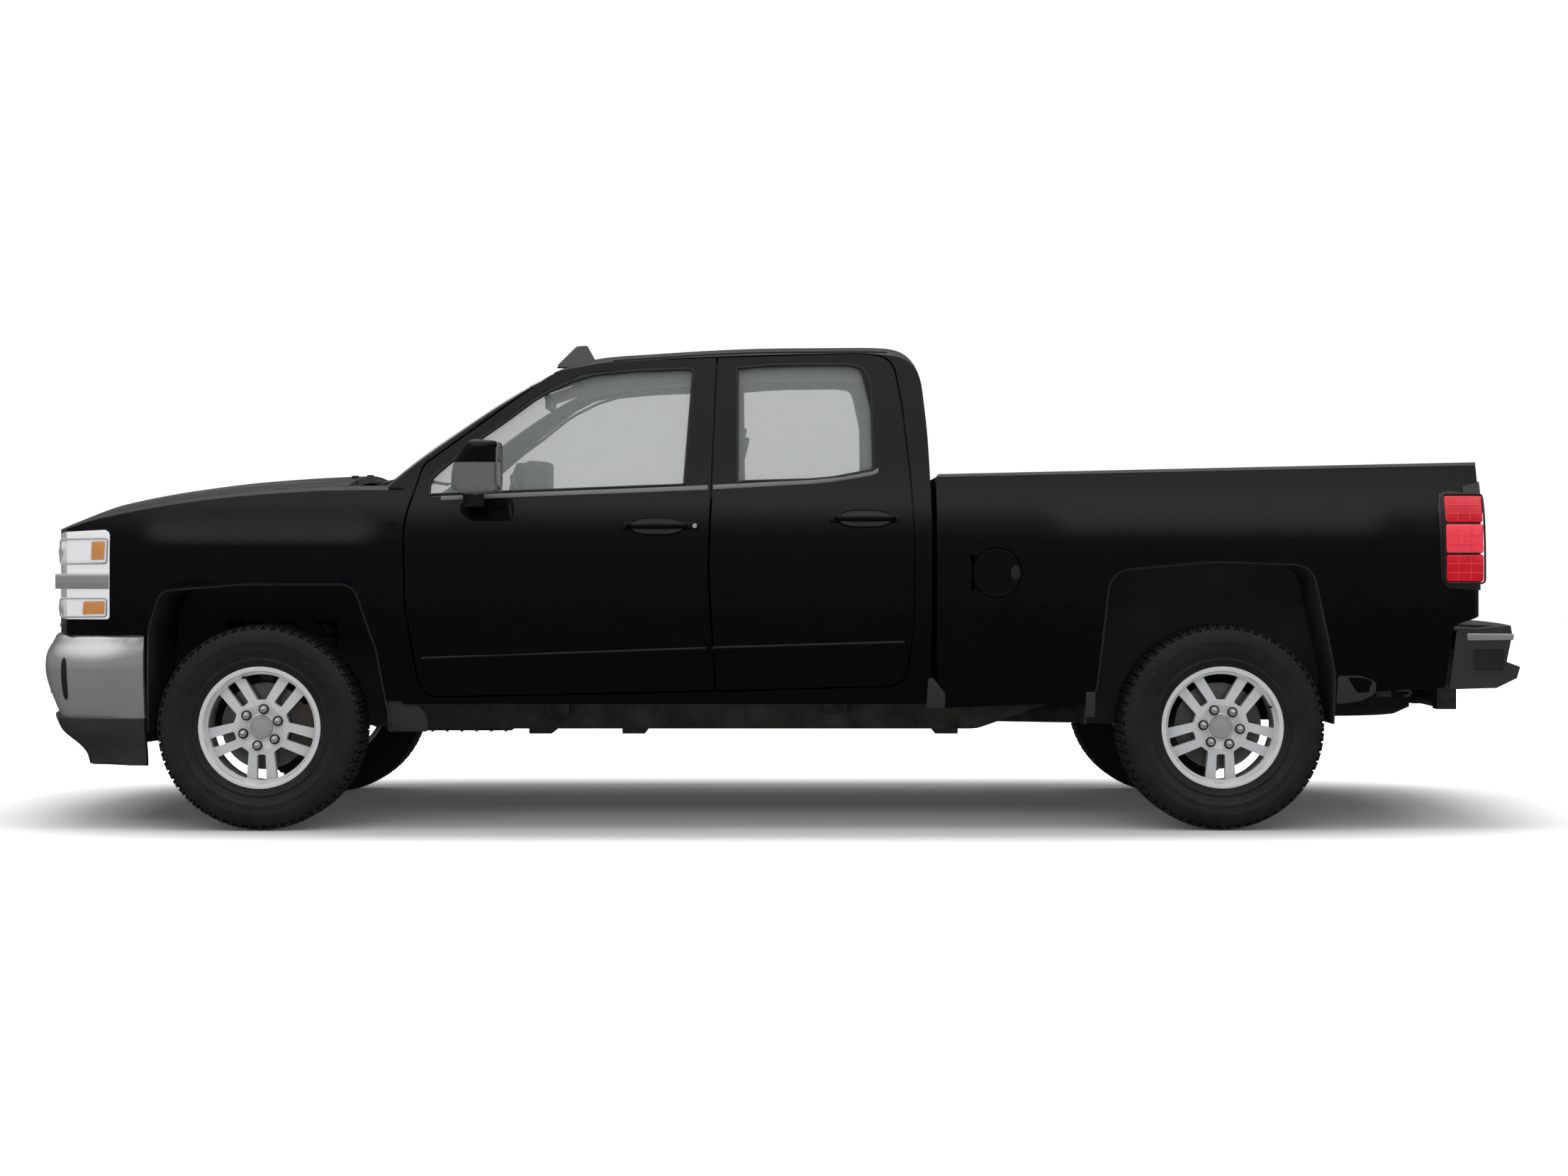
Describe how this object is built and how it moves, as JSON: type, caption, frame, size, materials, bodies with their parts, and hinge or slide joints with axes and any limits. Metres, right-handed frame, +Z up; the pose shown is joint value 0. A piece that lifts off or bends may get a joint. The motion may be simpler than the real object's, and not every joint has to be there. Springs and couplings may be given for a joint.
{
  "type": "extended-cab pickup truck",
  "caption": "Full-size pickup truck with an extended four-door cab, long hood, open load bed with tailgate, step bumper and alloy wheels.",
  "frame": {"origin": "on the ground under the middle of the truck, halfway between nose and tail", "axes": "+X towards the tail, -Y towards the driver's side, +Z up"},
  "size_m": [5.8427, 2.4928, 1.9048],
  "materials": {
    "body_paint": "gloss black paint under clear coat",
    "dark_plastic": "grained dark grey plastic",
    "glass": "clear car glass",
    "lamp": "clear lens over bright reflectors",
    "red_lens": "red lens",
    "chrome": "polished chrome plate",
    "bed_liner": "black painted steel floor",
    "frame_steel": "black waxed chassis steel",
    "cast_iron": "raw casting",
    "brushed_steel": "dull steel tube",
    "aluminium": "machined and painted alloy",
    "tyre_rubber": "black tyre rubber",
    "seat_cloth": "dark grey woven cloth"
  },
  "bodies": {
    "root": {"cab": "body_paint", "fenders": "body_paint", "bedsides": "body_paint", "windows": "glass", "wheel_liners": "dark_plastic", "rear_wheel_liners": "dark_plastic", "headlamps": "lamp", "tail_lamps": "red_lens", "grille": "dark_plastic", "front_bumper": "chrome", "front_valance": "dark_plastic", "rear_bumper": "dark_plastic", "bed": "bed_liner", "bed_rails": "dark_plastic", "frame": "frame_steel", "engine": "cast_iron", "driveshaft": "frame_steel", "exhaust": "brushed_steel", "fuel_tank": "dark_plastic", "radiator": "aluminium", "front_suspension": "frame_steel", "rear_axle": "frame_steel", "spare_wheel": "tyre_rubber", "dashboard": "dark_plastic", "front_seats": "seat_cloth", "rear_bench": "seat_cloth"},
    "front_left_door": {"front_left_door": "body_paint", "front_left_glass": "glass", "left_mirror": "dark_plastic"},
    "front_right_door": {"front_right_door": "body_paint", "front_right_glass": "glass", "right_mirror": "dark_plastic"},
    "rear_left_door": {"rear_left_door": "body_paint", "rear_left_glass": "glass"},
    "rear_right_door": {"rear_right_door": "body_paint", "rear_right_glass": "glass"},
    "hood": {"hood": "body_paint"},
    "tailgate": {"tailgate": "body_paint"},
    "fuel_door": {"fuel_door": "body_paint"},
    "left_knuckle": {"left_knuckle": "cast_iron"},
    "right_knuckle": {"right_knuckle": "cast_iron"},
    "steering_wheel": {"steering_wheel": "dark_plastic"},
    "front_left_wheel": {"front_left_tyre": "tyre_rubber", "front_left_rim": "aluminium"},
    "front_right_wheel": {"front_right_tyre": "tyre_rubber", "front_right_rim": "aluminium"},
    "rear_left_wheel": {"rear_left_tyre": "tyre_rubber", "rear_left_rim": "aluminium"},
    "rear_right_wheel": {"rear_right_tyre": "tyre_rubber", "rear_right_rim": "aluminium"}
  },
  "joints": [
    {"name": "front_left_door_swing", "type": "hinge", "parent": "root", "child": "front_left_door", "pos_m": [-1.33, -0.972, 0.9], "axis": [0, 0, -1], "range_deg": [0, 67]},
    {"name": "rear_left_door_swing", "type": "hinge", "parent": "root", "child": "rear_left_door", "pos_m": [-0.186, -0.972, 0.9], "axis": [0, 0, -1], "range_deg": [0, 65]},
    {"name": "front_right_door_swing", "type": "hinge", "parent": "root", "child": "front_right_door", "pos_m": [-1.33, 0.972, 0.9], "axis": [0, 0, 1], "range_deg": [0, 67]},
    {"name": "rear_right_door_swing", "type": "hinge", "parent": "root", "child": "rear_right_door", "pos_m": [-0.186, 0.972, 0.9], "axis": [0, 0, 1], "range_deg": [0, 65]},
    {"name": "hood_lift", "type": "hinge", "parent": "root", "child": "hood", "pos_m": [-1.64, 0, 1.28], "axis": [0, 1, 0], "range_deg": [0, 45]},
    {"name": "tailgate_drop", "type": "hinge", "parent": "root", "child": "tailgate", "pos_m": [2.65, 0, 0.86], "axis": [0, 1, 0], "range_deg": [0, 90]},
    {"name": "fuel_door_swing", "type": "hinge", "parent": "root", "child": "fuel_door", "pos_m": [0.773, -0.976, 0.976], "axis": [0, 0, -1], "range_deg": [0, 90]},
    {"name": "left_steer", "type": "hinge", "parent": "root", "child": "left_knuckle", "pos_m": [-1.936, -0.8, 0.39], "axis": [0, 0, 1], "range_deg": [-33, 33]},
    {"name": "right_steer", "type": "hinge", "parent": "root", "child": "right_knuckle", "pos_m": [-1.936, 0.8, 0.39], "axis": [0, 0, 1], "range_deg": [-33, 33]},
    {"name": "steering_wheel_turn", "type": "hinge", "parent": "root", "child": "steering_wheel", "pos_m": [-0.96, -0.385, 1.195], "axis": [0.9135, 0, 0.4067], "range_deg": [-500, 500]},
    {"name": "front_left_wheel_spin", "type": "hinge", "parent": "left_knuckle", "child": "front_left_wheel", "pos_m": [-1.936, -0.8725, 0.39], "axis": [0, 1, 0], "continuous": true},
    {"name": "rear_left_wheel_spin", "type": "hinge", "parent": "root", "child": "rear_left_wheel", "pos_m": [1.709, -0.8585, 0.39], "axis": [0, 1, 0], "continuous": true},
    {"name": "front_right_wheel_spin", "type": "hinge", "parent": "right_knuckle", "child": "front_right_wheel", "pos_m": [-1.936, 0.8725, 0.39], "axis": [0, 1, 0], "continuous": true},
    {"name": "rear_right_wheel_spin", "type": "hinge", "parent": "root", "child": "rear_right_wheel", "pos_m": [1.709, 0.8585, 0.39], "axis": [0, 1, 0], "continuous": true}
  ],
  "couplings": [
    {"joint": "right_steer", "follows": "left_steer", "ratio": 1},
    {"joint": "steering_wheel_turn", "follows": "left_steer", "ratio": 15}
  ]
}
